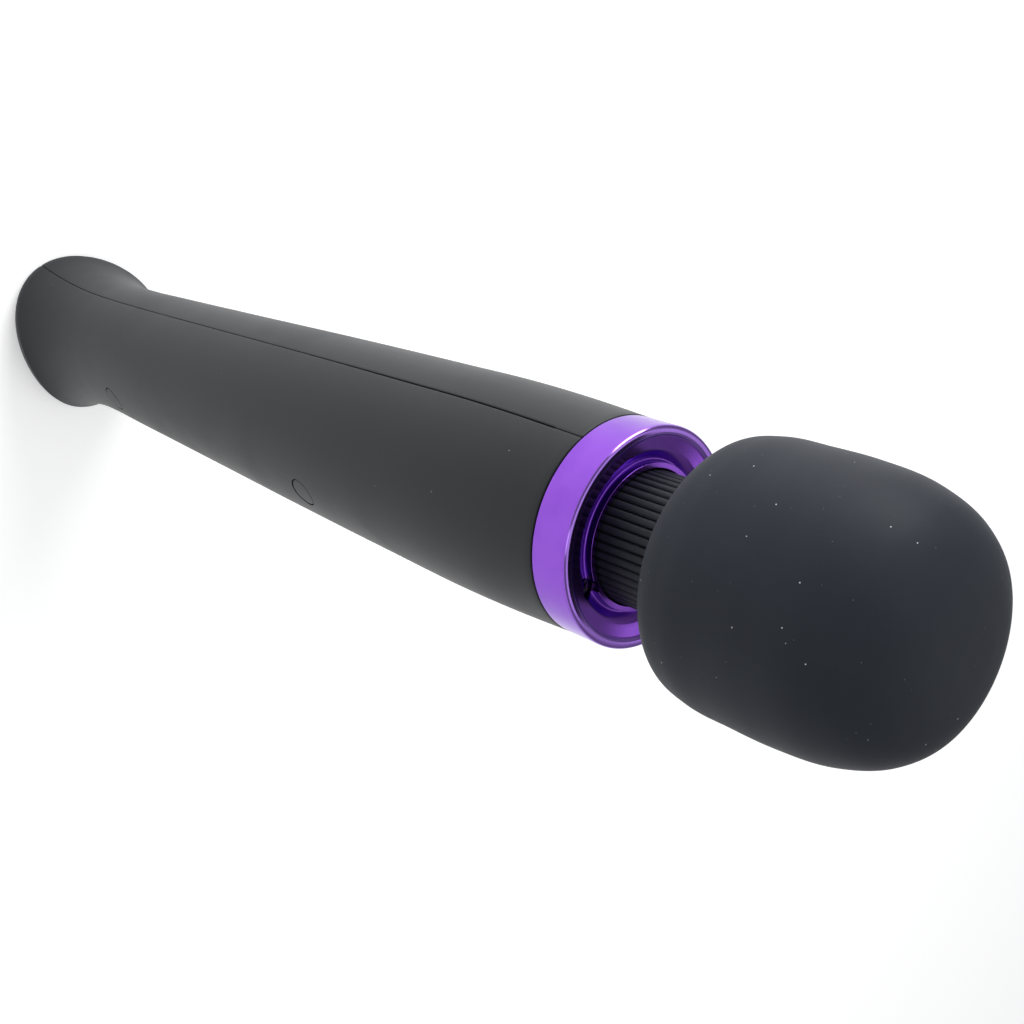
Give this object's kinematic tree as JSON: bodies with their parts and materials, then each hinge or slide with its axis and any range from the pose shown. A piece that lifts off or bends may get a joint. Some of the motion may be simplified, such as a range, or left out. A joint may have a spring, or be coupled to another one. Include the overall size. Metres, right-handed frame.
{
  "type": "handheld wand massager",
  "caption": "Cordless wand massager: rounded head on a flexible fluted neck, dished metal collar and a long two-shell handle flaring to an oval tail.",
  "frame": {"origin": "centre of the flat end plate under the tail, on the handle's axis", "axes": "+Z along the handle towards the head, +Y to the back where the screw plugs are, -Y to the front where the buttons are, X across the parting plane"},
  "size_m": [0.0564, 0.0564, 0.344],
  "materials": {
    "soft_touch_shell": "soft-touch satin charcoal",
    "head_silicone": "matt silicone",
    "neck_rubber": "satin fluted rubber",
    "anodised_collar": "satin purple anodised",
    "steel": "turned and rolled steel",
    "dark_steel": "black oxide",
    "abs_black": "fine moulded texture",
    "abs_grey": "plain moulded",
    "damper_rubber": "matt",
    "weight_brass": "machined",
    "copper": "wound and lacquered",
    "ferrite": "ground ceramic",
    "circuit_board": "solder mask",
    "cell_wrap": "shrink wrap over a can",
    "red_lead": "insulated wire",
    "black_lead": "insulated wire",
    "light_pipe": "clear moulding",
    "insulator_card": "fibre card"
  },
  "bodies": {
    "handle": {"battery_card_lower": "insulator_card", "battery_card_upper": "insulator_card", "battery_cell_left": "cell_wrap", "battery_cell_right": "cell_wrap", "battery_cradle": "abs_grey", "battery_lead_black": "black_lead", "battery_lead_red": "red_lead", "charge_jack": "abs_black", "charge_jack_pin": "steel", "charge_lead_black": "black_lead", "charge_lead_red": "red_lead", "circuit_board": "circuit_board", "collar": "anodised_collar", "collar_screw_front": "dark_steel", "collar_screw_rear": "dark_steel", "controller_chip": "abs_black", "end_plate": "abs_black", "end_screw_left": "dark_steel", "end_screw_right": "dark_steel", "front_shell": "soft_touch_shell", "neck_clamp": "abs_black", "rear_shell": "soft_touch_shell", "screw_plug_lower": "soft_touch_shell", "screw_plug_upper": "soft_touch_shell", "shell_screw_lower": "steel", "shell_screw_upper": "steel", "status_light_pipe": "light_pipe", "switch_minus": "abs_grey", "switch_pattern": "abs_grey", "switch_plus": "abs_grey", "switch_power": "abs_grey"},
    "neck": {"neck_sleeve": "neck_rubber", "neck_spring": "steel", "motor_lead_red": "red_lead", "motor_lead_black": "black_lead"},
    "head": {"head_cover": "head_silicone", "head_core_lower": "abs_grey", "head_core_upper": "abs_grey", "head_plug": "abs_black", "motor_can": "steel", "motor_end_bell": "abs_black", "motor_magnet_left": "ferrite", "motor_magnet_right": "ferrite", "motor_damper_lower": "damper_rubber", "motor_damper_upper": "damper_rubber"},
    "rotor": {"motor_rotor": "copper", "motor_commutator": "copper", "motor_shaft": "steel", "eccentric_weight": "weight_brass"},
    "power_button": {"button_power": "head_silicone", "switch_plunger_power": "dark_steel"},
    "plus_button": {"button_plus": "head_silicone", "switch_plunger_plus": "dark_steel"},
    "minus_button": {"button_minus": "head_silicone", "switch_plunger_minus": "dark_steel"},
    "pattern_button": {"button_pattern": "head_silicone", "switch_plunger_pattern": "dark_steel"}
  },
  "joints": [
    {"name": "neck_nod", "type": "hinge", "parent": "handle", "child": "neck", "pos_m": [0, 0, 0.271], "axis": [1, 0, 0], "range_deg": [-18, 18], "stiffness_Nm_per_rad": 3, "deforming": ["neck_sleeve", "neck_spring", "motor_lead_red", "motor_lead_black"]},
    {"name": "neck_lean", "type": "hinge", "parent": "neck", "child": "head", "pos_m": [0, 0, 0.279], "axis": [0, 1, 0], "range_deg": [-18, 18], "stiffness_Nm_per_rad": 3, "deforming": ["neck_sleeve", "neck_spring", "motor_lead_red", "motor_lead_black"]},
    {"name": "motor_spin", "type": "hinge", "parent": "head", "child": "rotor", "pos_m": [0, 0, 0.316], "axis": [0, 0, 1], "continuous": true},
    {"name": "power_press", "type": "slide", "parent": "handle", "child": "power_button", "axis": [0, 1, 0], "range_m": [0, 0.0006], "stiffness_N_per_m": 2500, "springref_m": -0.0002},
    {"name": "plus_press", "type": "slide", "parent": "handle", "child": "plus_button", "axis": [0, 1, 0], "range_m": [0, 0.0006], "stiffness_N_per_m": 2500, "springref_m": -0.0002},
    {"name": "minus_press", "type": "slide", "parent": "handle", "child": "minus_button", "axis": [0, 1, 0], "range_m": [0, 0.0006], "stiffness_N_per_m": 2500, "springref_m": -0.0002},
    {"name": "pattern_press", "type": "slide", "parent": "handle", "child": "pattern_button", "axis": [0, 1, 0], "range_m": [0, 0.0006], "stiffness_N_per_m": 2500, "springref_m": -0.0002}
  ]
}
